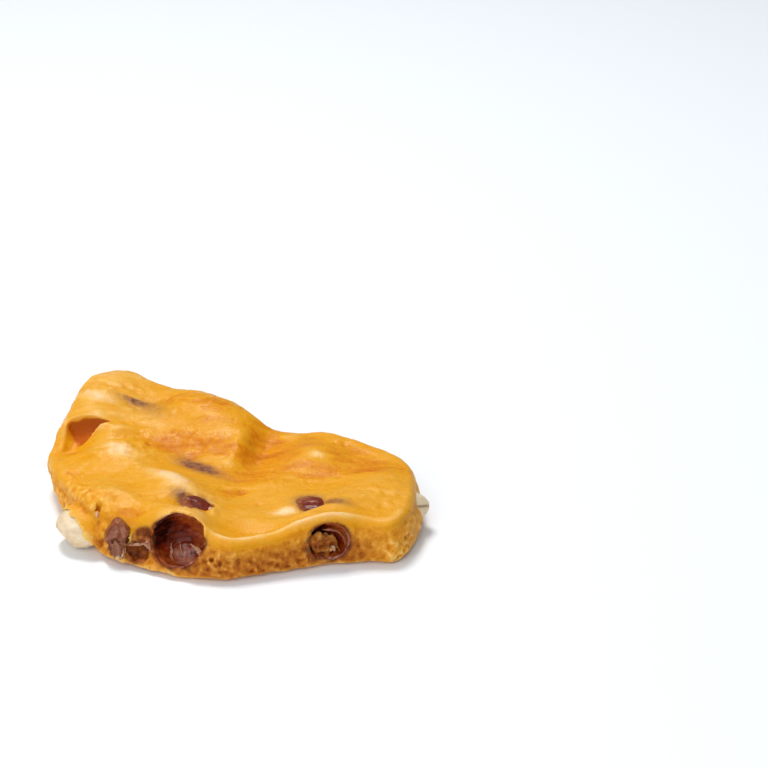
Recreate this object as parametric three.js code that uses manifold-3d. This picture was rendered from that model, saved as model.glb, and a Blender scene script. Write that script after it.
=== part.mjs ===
// A broken piece of nut brittle: a sheet of golden caramel that was poured over whole peanuts and snapped by hand.
// It lies on the flat underside that it cooled on. Where it broke, some kernels stick out of the edge, one fell
// out and left its red-brown skin lining the socket, and others show through holes in the top.
// Millimetres, +Z up, the long side along X, the most broken side towards -Y. The origin is the middle of the base.

import * as THREE from "three";
import { mergeVertices } from "three/addons/utils/BufferGeometryUtils.js";
import Module from "manifold-3d";

const wasm = await Module();
wasm.setup();

// ---- driving sizes -------------------------------------------------------------------------------------------

const THICKNESS = 7.9; // the plain sheet between its nuts
const GAP = 0.3; // between a kernel or a skin and the caramel round it
const RIM_ROUND = 1.5; // radius on the edge of the top face
const FOOT_CHAMFER = 0.35; // how far the broken side stands off the ground at its foot
const BELLY = 0.5; // how far the broken side bulges halfway up
const CRAG = 0.32; // depth of the crags on the broken side
const SKIN = 0.55; // wall of the nut skin that lines a socket
const SHEET_MIDDLE = [-1.5, -1.5]; // where the rings of the sheet shrink to
const BOX_MIDDLE = [0.49, 1.1]; // middle of the piece's plan, which becomes the origin

// The foot of the broken side, seen from above and anticlockwise from the right end.
const FOOT = [
  [33.2, -7], [32.2, 0], [28.2, 4.8], [21.4, 8.8], [15.5, 11.2], [8.9, 12.2], [4.2, 13.9], [-0.4, 18.2], [-8.2, 21.8],
  [-16.6, 25.2], [-24, 29.2], [-28, 26], [-30.2, 21.2], [-31.4, 13.2], [-31.6, 5], [-30.4, -1.2], [-29.2, -7],
  [-28.6, -12.6], [-25.4, -17.4], [-22.2, -18.6], [-18.8, -20.7], [-14.4, -21.9], [-8.6, -26], [0, -26.9],
  [4.6, -25.7], [13.4, -23], [21.6, -21.2], [28.8, -20.8], [32.4, -14.6],
];

// Swells and hollows of the top face: where, how high, the half width along the turned axis, the half width
// across it and the turn in degrees. Where front is given, it is the half width on the side of negative across.
const SWELLS = [
  { x: -24, y: 23.4, rise: 5.6, long: 8, short: 6, turn: 20 }, // left rear lobe
  { x: -27.4, y: 16.6, rise: 0.7, long: 2.8, short: 2.1, turn: 10 },
  { x: -18.6, y: 12.2, rise: 0.9, long: 4.2, short: 2.8, turn: -20 },
  { x: -26.6, y: 9.4, rise: 3, long: 5.2, short: 4.5, front: 1.1, turn: -6 }, // ledge at the front of that lobe
  { x: -27.6, y: 6, rise: -1.2, long: 4.8, short: 1.4, front: 1.7, turn: 30 }, // dent under the ledge
  { x: -22.2, y: 2.2, rise: 2.2, long: 5, short: 3.3, turn: 12 },
  { x: -5, y: 14.6, rise: 4.8, long: 9, short: 6, turn: -22 }, // right rear lobe
  { x: 4.6, y: 4.5, rise: -1.6, long: 6, short: 2.2, turn: 75 },
  { x: -11, y: -8, rise: 2.3, long: 5.5, short: 2.8, turn: -38 },
  { x: -4.6, y: -14, rise: 0.9, long: 5.2, short: 3.4, turn: -25 }, // over the front kernel
  { x: -8.6, y: -21.4, rise: 3.1, long: 4.6, short: 3.4, turn: -6 }, // brow of the front socket
  { x: -20.5, y: -13, rise: 2.3, long: 5, short: 3.4, turn: -30 },
  { x: -15.8, y: -21.2, rise: -2.1, long: 3.6, short: 2.6, turn: -8 },
  { x: 14.1, y: 1.4, rise: 1.6, long: 4, short: 3.2, turn: -20 },
  { x: 17.6, y: 8.6, rise: 0.5, long: 3.6, short: 2.4, turn: -20 },
  { x: 24.6, y: 4.6, rise: 0.9, long: 6, short: 1.7, turn: -36 },
  { x: 8, y: -13, rise: -1.1, long: 6, short: 5, turn: 0 },
  { x: -1.5, y: -24.5, rise: -1, long: 3.4, short: 2.6, turn: 0 },
  { x: 9.6, y: -18.8, rise: 1.6, long: 3, short: 2, turn: 0 },
  { x: 16, y: -13.6, rise: 1.7, long: 5, short: 3.2, turn: -10 }, // over the right kernel
  { x: 17, y: -20.6, rise: 1, long: 4.6, short: 2.4, turn: 0 }, // brow of the right socket
  { x: 27.8, y: -8.5, rise: 1, long: 5, short: 4, turn: 30 },
  { x: -7, y: -15.2, rise: -1.5, long: 2.5, short: 1.6, turn: -24 }, // hole over the front kernel
  { x: 14.8, y: -15, rise: -1.5, long: 2.4, short: 1.4, turn: 10 }, // hole over the right kernel
];

// How far the rim of the top face stands back from the foot: a little all round, more over the front socket and
// the edge kernel, and less than nothing at the left, where the rim hangs over.
const SETBACK = 0.7;
const SETBACKS = [
  { x: -8.6, y: -25, rise: 3, long: 4.6, short: 5, turn: 0 },
  { x: -25.6, y: -14.4, rise: 2, long: 5, short: 5, turn: -45 },
  { x: -31.4, y: 3, rise: -2.8, long: 7, short: 5, turn: 90 },
];

// Whole kernels: middle, length, width, thickness, and how the long axis turns and tips, in degrees.
const KERNELS = {
  peanut_edge: { at: [-25.6, -14.6, 3.5], size: [9.8, 7.2, 6.6], turn: -32, tip: 0, colour: 0xe9dcc0 },
  peanut_front: { at: [-6.2, -13.7, 6.4], size: [10.4, 6.2, 5.6], turn: -25, tip: 0, colour: 0x5e2318 },
  peanut_right: { at: [15, -13.4, 5.6], size: [11.4, 6.6, 6], turn: -10, tip: 0, colour: 0x6b2a1c },
  peanut_left: { at: [-18.7, -18.5, 4.4], size: [7.4, 4.4, 4.8], turn: -60, tip: 68, colour: 0x6d4034 },
  peanut_back: { at: [-11.5, 20.9, 5.2], size: [13, 8.2, 8], turn: 68, tip: 4, colour: 0xe3cf9f },
  peanut_end: { at: [28.4, -9.6, 4.6], size: [12.6, 8, 7.8], turn: 12, tip: -3, colour: 0xdcc08a },
};

// Hollows in the broken side, as ellipsoids: middle and half sizes. The first two are lined by a nut's skin.
const SOCKETS = {
  skin_front: { at: [-7.9, -22.4, 5.75], half: [5.15, 4.3, 4.85], mouth: -23, lean: 18, colour: 0x3a0d08 },
  skin_right: { at: [17.3, -21.2, 4.9], half: [3.6, 3.1, 3.4], mouth: -21.4, lean: 4, colour: 0x5a2413 },
};
const CELLS = [
  { at: [-14.3, -21.6, 5.9], half: [1.5, 1.8, 1.2] },
  { at: [-15.5, -21.8, 2.8], half: [1.8, 1.9, 1.6] },
];
const BITE = { at: [-30.6, -17.4, 0.4], half: [6.8, 6.4, 5.6] }; // where the caramel broke away from the edge kernel

const CARAMEL_COLOUR = 0xe8a33a;

// How finely the surfaces are cut, and where the rings of the sheet lie as shares of the way out.
const AROUND = 124;
const SIDE_STEPS = 6;
const TOP_STEPS = 10;
const INNER_TOP = 0.905; // the top's even rings end here
const RIM_RINGS = [0.952, 0.976, 0.993];
const FOOT_RINGS = [0, 0.55, 0.93];
const KERNEL_CUTS = [18, 12];
const SOCKET_CUTS = [20, 12];

// ---- solids --------------------------------------------------------------------------------------------------

function solidOf(geometry) {
  const bare = geometry.clone();
  bare.deleteAttribute("normal");
  bare.deleteAttribute("uv");
  const merged = mergeVertices(bare, 1e-4);
  return new wasm.Manifold(
    new wasm.Mesh({
      numProp: 3,
      vertProperties: merged.attributes.position.array,
      triVerts: new Uint32Array(merged.index.array),
    }),
  );
}

function geometryOf(solid) {
  const { vertProperties, triVerts } = solid.getMesh();
  const geometry = new THREE.BufferGeometry();
  geometry.setAttribute("position", new THREE.BufferAttribute(vertProperties, 3));
  geometry.setIndex(new THREE.BufferAttribute(triVerts, 1));
  geometry.computeVertexNormals();
  return geometry;
}

// ---- the form of the sheet -----------------------------------------------------------------------------------

// The sum of the given swells at a place in plan, each a smooth bell.
function swellSum(swells, x, y) {
  let sum = 0;
  for (const { x: cx, y: cy, rise, long, short, front = short, turn } of swells) {
    const angle = THREE.MathUtils.degToRad(turn);
    const along = (x - cx) * Math.cos(angle) + (y - cy) * Math.sin(angle);
    const across = (y - cy) * Math.cos(angle) - (x - cx) * Math.sin(angle);
    const width = across < 0 ? front : short;
    sum += rise * Math.exp(-0.5 * ((along / long) ** 2 + (across / width) ** 2));
  }
  return sum;
}

// A slow uneven wave that no poured sheet is free of.
function wave(x, y) {
  return 0.22 * Math.sin(0.31 * x + 0.17 * y + 1.1) + 0.18 * Math.sin(0.23 * y - 0.4 * x + 0.4);
}

function topHeight(x, y) {
  return THICKNESS + swellSum(SWELLS, x, y) + wave(x, y);
}

// In and out of the broken side, between -1 and 1.
function crag(x, y, z) {
  return (
    0.45 * Math.sin(1.9 * x + 0.7 * y + 2.3 * z) +
    0.35 * Math.sin(2.7 * y - 1.3 * x + 1.1 * z + 1.7) +
    0.2 * Math.sin(4.1 * x - 3.3 * y + 3.7 * z + 0.5)
  );
}

const footCurve = new THREE.CatmullRomCurve3(
  FOOT.map(([x, y]) => new THREE.Vector3(x, y, 0)),
  true,
);
footCurve.arcLengthDivisions = 1000;

// The profile that is turned into the sheet: x is the share of the way out to the edge, y the share of the way up.
function sheetProfile() {
  const points = FOOT_RINGS.map((share) => [share, 0]);
  for (let i = 0; i <= SIDE_STEPS; i++) points.push([1, i / SIDE_STEPS]);
  for (const share of RIM_RINGS.toReversed()) points.push([share, 1]);
  for (let i = TOP_STEPS; i >= 0; i--) points.push([(INNER_TOP * i) / TOP_STEPS, 1]);
  return points.map(([x, y]) => new THREE.Vector2(x, y));
}

// Where a point of the turned profile lies in the real sheet.
function placeInSheet(turn, out, up) {
  const foot = footCurve.getPointAt(turn);
  const outward = foot.clone().sub(new THREE.Vector3(...SHEET_MIDDLE, 0));
  const reach = outward.length();
  outward.normalize();
  const back = up * (SETBACK + swellSum(SETBACKS, foot.x, foot.y));
  const edge = foot.clone().addScaledVector(outward, -back);
  const place = edge.clone().addScaledVector(outward, -(1 - out) * (reach - back));
  const top = topHeight(place.x, place.y);
  const inward = (1 - out) * (reach - back);
  const drop = RIM_ROUND - Math.sqrt(RIM_ROUND ** 2 - Math.max(0, RIM_ROUND - inward) ** 2);
  if (up === 1) place.z = top - drop;
  else if (out === 1) place.z = FOOT_CHAMFER + up * (top - RIM_ROUND - FOOT_CHAMFER);
  if (out === 1) {
    const belly = BELLY * Math.sin(Math.PI * up);
    place.addScaledVector(outward, belly + CRAG * crag(place.x, place.y, place.z));
  }
  return place;
}

function sheetSolid() {
  const geometry = new THREE.LatheGeometry(sheetProfile(), AROUND);
  const position = geometry.attributes.position;
  for (let i = 0; i < position.count; i++) {
    const [x, up, z] = [position.getX(i), position.getY(i), position.getZ(i)];
    const turn = (Math.atan2(x, z) / (2 * Math.PI) + 1) % 1;
    const out = Math.min(1, Math.round(Math.hypot(x, z) * 1e5) / 1e5);
    const place = placeInSheet(out === 0 ? 0 : turn, out, up);
    position.setXYZ(i, place.x, place.y, place.z);
  }
  return solidOf(geometry);
}

// ---- nuts and skins ------------------------------------------------------------------------------------------

// A peanut kernel, blunt at one end and with a small beak at the other. grow makes it fatter all round.
function kernelSolid({ at, size, turn, tip }, grow = 0) {
  const geometry = new THREE.SphereGeometry(1, ...KERNEL_CUTS);
  geometry.rotateZ(-Math.PI / 2); // the poles lie along X, the kernel's long axis
  const position = geometry.attributes.position;
  for (let i = 0; i < position.count; i++) {
    const along = position.getX(i);
    const girth = 1 - 0.1 * along - 0.06 * along ** 2;
    position.setXYZ(i, along, position.getY(i) * girth, position.getZ(i) * girth);
  }
  geometry.scale(size[0] / 2 + grow, size[1] / 2 + grow, size[2] / 2 + grow);
  geometry.rotateY(THREE.MathUtils.degToRad(-tip));
  geometry.rotateZ(THREE.MathUtils.degToRad(turn));
  geometry.translate(...at);
  return solidOf(geometry);
}

function ellipsoidSolid({ at, half }, shrink = 0) {
  const geometry = new THREE.SphereGeometry(1, ...SOCKET_CUTS);
  geometry.scale(...half.map((size) => size - shrink));
  geometry.translate(...at);
  return solidOf(geometry);
}

// The cup of skin left in a socket: the lining behind a plane that leans back with the broken side.
function skinSolid(socket) {
  const shell = ellipsoidSolid(socket, GAP).subtract(ellipsoidSolid(socket, GAP + SKIN));
  const keep = new THREE.BoxGeometry(30, 30, 30);
  keep.translate(0, 15, 0);
  keep.rotateX(THREE.MathUtils.degToRad(-socket.lean));
  keep.translate(socket.at[0], socket.mouth, socket.at[2]);
  return shell.intersect(solidOf(keep));
}

function largestBody(solid) {
  return solid.decompose().reduce((best, body) => (body.volume() > best.volume() ? body : best));
}

// ---- the piece -----------------------------------------------------------------------------------------------

function addMesh(group, name, solid, colour, roughness) {
  const material = new THREE.MeshStandardMaterial({ color: colour, roughness, metalness: 0 });
  const mesh = new THREE.Mesh(geometryOf(solid), material);
  mesh.name = name;
  group.add(mesh);
}

const piece = new THREE.Group();
let caramel = sheetSolid();
for (const hollow of [...Object.values(SOCKETS), ...CELLS, BITE]) caramel = caramel.subtract(ellipsoidSolid(hollow));
for (const [name, kernel] of Object.entries(KERNELS)) {
  caramel = caramel.subtract(kernelSolid(kernel, GAP));
  addMesh(piece, name, kernelSolid(kernel), kernel.colour, 0.5);
}
for (const [name, socket] of Object.entries(SOCKETS)) {
  addMesh(piece, name, skinSolid(socket), socket.colour, 0.25);
}
addMesh(piece, "caramel", largestBody(caramel), CARAMEL_COLOUR, 0.35);
piece.position.set(-BOX_MIDDLE[0], -BOX_MIDDLE[1], 0);

export default piece;
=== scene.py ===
"""A broken piece of nut brittle: golden caramel poured over peanuts, snapped by hand.

The sheet is one solid cut from fine cells: the CAD's outline and swells, with crags, bubbles and lips added.
Sizes are in millimetres in the sheet's own plan. mesh_object takes them to metres and to the frame's origin.
"""

import math

import bpy
import numpy as np
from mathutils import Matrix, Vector


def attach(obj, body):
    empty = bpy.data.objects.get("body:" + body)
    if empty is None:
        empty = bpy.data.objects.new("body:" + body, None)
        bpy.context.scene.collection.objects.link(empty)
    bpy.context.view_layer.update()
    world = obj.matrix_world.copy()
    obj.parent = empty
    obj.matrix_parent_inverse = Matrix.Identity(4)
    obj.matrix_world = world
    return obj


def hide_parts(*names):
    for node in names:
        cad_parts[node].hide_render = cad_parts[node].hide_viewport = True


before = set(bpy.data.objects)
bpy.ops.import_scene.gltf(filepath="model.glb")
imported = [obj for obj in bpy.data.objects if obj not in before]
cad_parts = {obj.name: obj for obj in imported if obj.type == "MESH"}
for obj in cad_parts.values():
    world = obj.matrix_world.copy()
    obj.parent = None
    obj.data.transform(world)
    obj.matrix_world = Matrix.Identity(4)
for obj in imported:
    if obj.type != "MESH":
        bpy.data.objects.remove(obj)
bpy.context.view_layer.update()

MM = 0.001
BOX_MIDDLE = np.array([0.49, 1.1, 0])  # middle of the piece's plan, which is the frame's origin

# ---- driving sizes, as in the CAD ----

THICKNESS = 7.9
RIM_ROUND = 1.5
FOOT_CHAMFER = 0.35
BELLY = 0.5

FOOT = [
    (33.2, -7), (32.2, 0), (28.2, 4.8), (21.4, 8.8), (15.5, 11.2), (8.9, 12.2), (4.2, 13.9),
    (-0.4, 18.2), (-8.2, 21.8), (-16.6, 25.2), (-24, 29.2), (-28, 26), (-30.2, 21.2), (-31.4, 13.2),
    (-31.6, 5), (-30.4, -1.2), (-29.2, -7), (-28.6, -12.6), (-25.4, -17.4), (-22.2, -18.6),
    (-18.8, -20.7), (-14.4, -21.9), (-8.6, -26), (0, -26.9), (4.6, -25.7), (13.4, -23), (21.6, -21.2),
    (28.8, -20.8), (32.4, -14.6),
]

# Bells: x, y, rise, half width along the turned axis, half width across it, turn in degrees.
# Two half widths across are the one behind the axis and the one in front of it.
SWELLS = [
    (-24, 23.4, 5.6, 8, 6, 20),  # left rear lobe
    (-27.4, 16.6, 0.7, 2.8, 2.1, 10),
    (-18.6, 12.2, 0.9, 4.2, 2.8, -20),
    (-26.6, 9.4, 3, 5.2, 4.5, 1.1, -6),  # ledge at the front of that lobe
    (-27.6, 6, -1.2, 4.8, 1.4, 1.7, 30),  # dent under the ledge
    (-22.2, 2.2, 2.2, 5, 3.3, 12),
    (-5, 14.6, 4.8, 9, 6, -22),  # right rear lobe
    (4.6, 4.5, -1.6, 6, 2.2, 75),
    (-11, -8, 2.3, 5.5, 2.8, -38),
    (-4.6, -14, 0.9, 5.2, 3.4, -25),  # over the front kernel
    (-8.6, -21.4, 3.1, 4.6, 3.4, -6),  # brow of the front socket
    (-20.5, -13, 2.3, 5, 3.4, -30),
    (-15.8, -21.2, -2.1, 3.6, 2.6, -8),
    (14.1, 1.4, 1.6, 4, 3.2, -20),
    (17.6, 8.6, 0.5, 3.6, 2.4, -20),
    (24.6, 4.6, 0.9, 6, 1.7, -36),
    (8, -13, -1.1, 6, 5, 0),
    (-1.5, -24.5, -1, 3.4, 2.6, 0),
    (9.6, -18.8, 1.6, 3, 2, 0),
    (16, -13.6, 1.7, 5, 3.2, -10),  # over the right kernel
    (17, -20.6, 1, 4.6, 2.4, 0),  # brow of the right socket
    (27.8, -8.5, 1, 5, 4, 30),
    (-7, -15.2, -1.5, 2.5, 1.6, -24),  # hole over the front kernel
    (14.8, -15, -1.5, 2.4, 1.4, 10),  # hole over the right kernel
]
SETBACK = 0.7
SETBACKS = [  # bells again
    (-8.6, -25, 3, 4.6, 5, 0),
    (-25.6, -14.4, 2, 5, 5, -45),
    (-31.4, 3, -2.8, 7, 5, 90),
]

# middle, size, turn and tip in degrees
KERNELS = {
    "peanut_edge": ((-25.6, -14.6, 3.5), (9.8, 7.2, 6.6), -32, 0),
    "peanut_front": ((-6.2, -13.7, 6.4), (10.4, 6.2, 5.6), -25, 0),
    "peanut_right": ((15, -13.4, 5.6), (11.4, 6.6, 6), -10, 0),
    "peanut_left": ((-18.7, -18.5, 4.4), (7.4, 4.4, 4.8), -60, 68),
    "peanut_back": ((-11.5, 20.9, 5.2), (13, 8.2, 8), 68, 4),
    "peanut_end": ((28.4, -9.6, 4.6), (12.6, 8, 7.8), 12, -3),
}
SOCKETS = {
    "skin_front": ((-7.9, -22.4, 5.75), (5.15, 4.3, 4.85)),
    "skin_right": ((17.3, -21.2, 4.9), (3.6, 3.1, 3.4)),
}
# Beside the front socket, the lower one a little smaller than in the CAD so that it stays closed below
CELLS = [((-14.3, -21.6, 5.9), (1.5, 1.8, 1.2)), ((-15.5, -21.9, 3.1), (1.8, 1.7, 1.4))]

# ---- what is finer than the CAD ----

CELL = 0.29  # size of the cells that the sheet is cut from
WINDOWS = {  # kernels that show through the top face: middle, half sizes and turn of the break over each
    "peanut_front": (-5, -14.9, 2.7, 1.4, -33),
    "peanut_right": (14.6, -14.4, 2.2, 1.7, -12),
}
FILM = 0.9  # thickest caramel over a kernel that still breaks open
SKIN = 0.3  # thickness of the skin in the sockets
DENT = [(-30.6, 11.2), (-31.4, 4.6), (-22, 10.3)]  # its corners under the ledge of the left rear lobe
DENT_FLOOR = ((-29.5, 8, 7.2), (0.34, 0.21))  # a point of it, and its rise along X and along Y
DENT_SLOPES = (2.6, 0.6, 1.7)  # how far each of its sides runs down, from the left side on
DENT_RAGGED = 0.1  # how far its edges wander
EDGE_COAT = 0.45  # caramel round the edge kernel
EDGE_BITES = [  # bare the edge kernel out of its coat
    ((-31, -18, 0.5), (6.9, 8.2, 8.2)),
    ((-29.5, -19, -1), (7.6, 7, 6)),
]
FOOT_LIFTS = [(-20, -21.8, 0.6, 4, 3, 8)]  # the edge stands clear of the table
FOOT_SPREAD = [(-15.6, -22, 1.6, 4.4, 3, 10)]  # how far the broken side runs out at its foot
FRONT_LIP = (0.4, 1.5, 0.65)  # height, how far inside the rim, half width
CRUMBLE = ((16.3, -22.2, 4.3), (3.3, 2.3, 3.1))  # caramel and crumbs that stayed in the right socket
SOCKET_WALL = 0.5  # thinnest wall beside the front socket
SOCKET_ROOF = 0.55  # thinnest roof over it
ROUGH_BAND = 2.4  # how far from the side its roughness is worked out
KERNEL_LAP = 0.5  # how far the sheet reaches into each kernel
WINDOW_FLOOR = 0.8  # how far above a kernel's middle the break over it ends
GAP_BACK = -19.6  # Y where the gap round the broken nut ends
PITS = 640  # tried all round the outline, and kept right of PITS_LEFT
PITS_LEFT = -7
PITS_SPAN = (0.06, 0.66)  # lowest and highest, as shares of the side's height
BLISTERS = 520  # fine bumps and pits of the top face
BUBBLES = 130  # tried in the underside, and kept more than BUBBLES_IN inside the outline
BUBBLES_IN = 3
UNDERSIDE_SHARE = 0.74  # share of the sheet's triangles left once its flat underside is thinned out
PIN_HOLE = ((-22.4, -15.9, 8.8), (0.4, 0.6, 1.1))  # over the right end of the edge kernel

KERNEL_CUTS = (64, 88)  # bands from pole to pole, and corners round each
SCRAP_CUTS = (18, 26)
CUP_CUTS = (60, 150)  # rings of corners, and corners in each
CUP_STEPS = 240  # tries along each line that looks for a cup's rim
SHRED_CUTS = (30, 7)  # corners along and across
SEAM = 0.22  # depth of the groove between a kernel's halves, and half its width

# Flat places on the kernels: the way each faces on the kernel's own axes, and how far out it is cut
EDGE_FACETS = [((-0.53, -0.66, -0.53), 0.8), ((0.35, -0.93, 0.15), 0.93)]
BROKEN_FACETS = [((0.55, -0.5, -0.67), 0.76), ((0.2, 0.45, -0.87), 0.8), ((-0.35, -0.85, -0.4), 0.8)]

# Bulges of the skin in each socket: polar and turn in degrees, width as a share of the socket, height
MOUNDS = {"skin_front": [((64, -80), 0.56, 1.25)], "skin_right": []}
FRONT_LEAN = (0, -0.96, 0.28)  # the way the torn skin beside the socket faces
MEMBRANES = [  # torn skin on the broken nut and between the hollows beside it: path, width, paleness
    ([(-17.3, -21.1, 3.5), (-17.8, -21.4, 2.6), (-18.5, -21.7, 1.8)], 0.5, 0.95),
    ([(-20.2, -20.4, 2.5), (-19.5, -21, 2.1), (-18.5, -21.7, 1.8)], 0.4, 0.75),
    ([(-16.9, -21.3, 3.9), (-15.6, -21.4, 4.3), (-14.2, -21.6, 4.3), (-12.9, -22, 3.4)], 0.45, 0.5),
    ([(-13.3, -21.1, 5.4), (-13.4, -21.6, 4.4), (-12.9, -22.1, 3.1)], 0.4, 0.3),
    ([(-14.9, -21.4, 4.3), (-14, -21.4, 4.8), (-13.3, -21.2, 5.2)], 0.35, 0.6),
    ([(-16.2, -21.2, 4), (-16.4, -20.9, 4.8), (-15.9, -20.4, 5.8)], 0.3, 0.2),
    ([(-20.2, -20.2, 4.4), (-20.2, -20.8, 3.2), (-19.6, -21.2, 2.2)], 1.5, 0.1),
    ([(-19.2, -20.8, 4.8), (-19.1, -21.3, 3.4), (-18.8, -21.7, 2)], 1.6, 0.25),
    ([(-18, -21, 4.8), (-18, -21.4, 3.6), (-18.3, -21.8, 2.2)], 1.4, 0.1),
]
FLAPS = [  # torn skin in a socket: polar and turn along it, lift at both ends, width, paleness
    ("skin_front", [(48, -50), (74, -40), (102, -30)], (1.5, 0.3), 0.55, 0.7),
    ("skin_front", [(60, -46), (82, -41), (100, -42)], (1.3, 0.3), 0.6, 0.9),
    ("skin_front", [(80, -2), (94, -14), (108, -26)], (0.3, 0.25), 0.7, 0.6),
    ("skin_front", [(44, -130), (70, -117), (92, -110)], (1, 0.4), 0.4, 0.6),
    ("skin_front", [(30, -100), (52, -92), (76, -88)], (1.5, 0.9), 0.22, 0.4),
    ("skin_right", [(96, 112), (94, 70), (94, 28), (96, -8)], (0.5, 0.5), 0.5, 0),
]
SCRAPS = [  # crumbs of nut: middle, half sizes, paleness
    ((18, -21.7, 3.8), (0.4, 0.35, 0.6), 0.5),
    ((-22.5, -16.5, 7.5), (0.3, 0.3, 0.6), 0.95),
    ((-3, -17, 8.6), (0.4, 0.6, 0.35), 0.9),
    ((-18.5, -21.7, 1.9), (0.45, 0.35, 0.45), 1),
]

# Bells on the top face, from NUBBLY on with a strength in place of the rise
MARKS = [
    (-23.2, 7, 1.6, 3, 1.2, 12),  # hump in front of the dent
    (1.2, 4.2, 0.9, 2.8, 1.3, 75),  # foot of the right rear lobe
    (14.8, -14.4, 0.45, 3, 1.8, -10),  # over the kernels that show through
    (-6.2, -14.4, 0.3, 3, 1.8, -25),
    (-5.6, -21.2, 0.6, 1.8, 1.8, 0),  # roof of the front socket
    (2.4, -21.5, -0.9, 4.5, 2, 2.4, 0),  # sag of the front rim between the sockets
    (9.8, -18.6, -1.5, 2.6, 2.2, 2.4, 0),
    (-22.7, 20, 0.24, 1.7, 0.3, -27),  # folds
    (-23, 19.1, -0.14, 1.5, 0.4, -27),
    (-19.4, 19.8, 0.2, 1.3, 0.35, -15),
    (-14, 18.3, 0.14, 1, 0.45, -10),
    (-12.5, 19.6, 0.12, 0.8, 0.4, 10),
    (-27.6, 13.6, 0.16, 0.45, 0.45, 0),
    (-25.7, 1.9, 0.18, 0.35, 0.9, 10),
    (-24.8, 1.1, 0.18, 0.35, 0.9, 5),
    (-23.9, 0.8, 0.16, 0.35, 0.8, 0),
    (-16.8, -3.4, 0.2, 0.9, 0.4, 0),
    (-7.9, 3.7, 0.24, 1.1, 0.5, 5),
    (-7.1, 4.9, 0.16, 0.6, 0.4, 0),
    (9.8, 8.4, 0.3, 1.2, 0.6, -5),
    (-18.5, 14.2, -0.22, 0.45, 0.4, 0),  # dimples
    (1.8, -8.9, -0.35, 0.9, 0.6, 20),
    (0.4, -7.6, 0.2, 0.7, 0.4, 0),
    (5.2, -13.5, -0.25, 0.4, 0.4, 0),
    (-3.9, -16.6, -0.4, 0.5, 1.7, 10),  # beside the hole over the front kernel
    (-2.6, -17.6, 0.35, 0.5, 0.8, 0),
    (14.6, -17, 0.5, 2.3, 0.6, 32),  # lip of the hole over the right kernel
    (18.6, -16.2, 0.35, 2.2, 0.6, -4),
    (10.2, -15, 0.25, 1.3, 0.7, 5),
]
NUBBLY = [  # fine bubbles roughen the face
    (-17.6, 2.6, 1.6, 1.6, 2.4, 0),
    (-23.4, 8.6, 0.8, 2.4, 0.7, 35),
    (-24.5, 2, 0.8, 2, 1.6, 0),
    (-6.5, 5, 1.2, 5, 1.6, -10),
    (4, 4.5, 0.8, 3, 2.4, 0),
    (-13.5, -16.8, 0.7, 3, 1.6, -20),
    (-27.6, -8, 2, 2.6, 5, 20),
    (-24, -14.5, 1.6, 3, 2.4, -30),
    (-18, -14.5, 0.6, 3.4, 1.6, -20),
    (0.6, -9, 0.7, 2.4, 1.4, 0),
    (-22, 19.6, 0.9, 3, 1.8, -20),
    (-12, 17.5, 0.6, 4, 1.4, -20),
    (26, -13, 0.6, 4, 3, 0),
]
CRUSTS = [  # crumbs of the broken side stick to the top face
    (-24.2, -13.6, 1, 3.4, 2, -38),
    (-28.2, -8, 0.8, 1.4, 4, 15),
]
STAINS = [  # a nut lies just under the face
    (-5.5, -1.6, 1.3, 2.9, 0.8, 1, -33),
    (-8.4, 0.6, 0.35, 2.2, 1.2, -40),
    (-18.8, 16.8, 0.95, 2.1, 0.25, 0.9, -15),
    (-15.4, 14.4, 0.4, 2.4, 1.4, -35),
    (-7.9, -13.5, 1, 1.5, 0.8, 0.9, -30),
    (18, -14.7, 0.9, 2.2, 0.7, 0.8, -14),
]
PALE_AND_SHEEN = [  # paler patches: partly a nut's pale flesh under the caramel, partly painted highlights and glints on the humps
    (-25.4, 16.1, 0.6, 2.2, 1.1, -14),
    (-20.6, 1.8, 0.8, 2.9, 1.5, 1.7, -38),
    (-10.6, -7.9, 0.75, 3.8, 1.3, -40),
    (9.8, -16, 1.3, 2, 0.9, 4),
    (14.9, 0.9, 1.1, 1.7, 0.9, -30),
    (9.8, 8.4, 0.7, 1.3, 0.5, -5),
    (-0.9, -0.3, 0.65, 1.4, 0.7, -15),
    (-18.6, 12, 0.35, 3.2, 2.2, -20),
    (-20, 19, 0.2, 7, 5, 0),
]
DEEP = [  # thick clear caramel, of a deeper gold
    (-3.4, 2.8, 0.3, 4.5, 1.6, 0),
    (1.8, 2.2, 0.35, 3.6, 2, 60),
    (14, -2.6, 0.55, 6, 1.5, 0),
    (28, -3.3, 0.5, 4, 1.6, 0),
    (-18.1, -17.8, 0.9, 2.8, 1, 0),
    (-24.7, 0.6, 0.4, 2.2, 1.2, -20),
    (-27.9, -9.7, 0.5, 1.6, 1.3, 0),
    (0.2, -9.3, 0.6, 1.6, 0.9, 0),
    (-13, 6, 0.35, 6, 2, -15),
    (-6, 5.2, 0.35, 5, 1.8, -10),
    (8.4, 3, 0.6, 4, 2.2, 0),
    (22, -1, 0.4, 5, 2, 0),
    (-5.5, 15, 0.7, 6, 3.4, -20),
    (6, 8, 0.3, 8, 4, -15),
    (18, 3, 0.3, 9, 5, -10),
    (1, -4.4, 0.55, 4, 1.5, -10),
]


# ---- noise and simple distances ----


def smooth_step(low, high, value):
    share = np.clip((value - low) / (high - low), 0, 1)
    return share * share * (3 - 2 * share)


def mixed(values, whole, part):
    """Values at the corners of cells, mixed by how far into its cell each point lies."""
    total = 0
    for corner in range(2**values.ndim):
        bits = [(corner >> axis) & 1 for axis in range(values.ndim)]
        weight = 1
        for axis, bit in enumerate(bits):
            weight = weight * (part[..., axis] if bit else 1 - part[..., axis])
        total = total + weight * values[tuple(whole[..., axis] + bit for axis, bit in enumerate(bits))]
    return total


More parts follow.
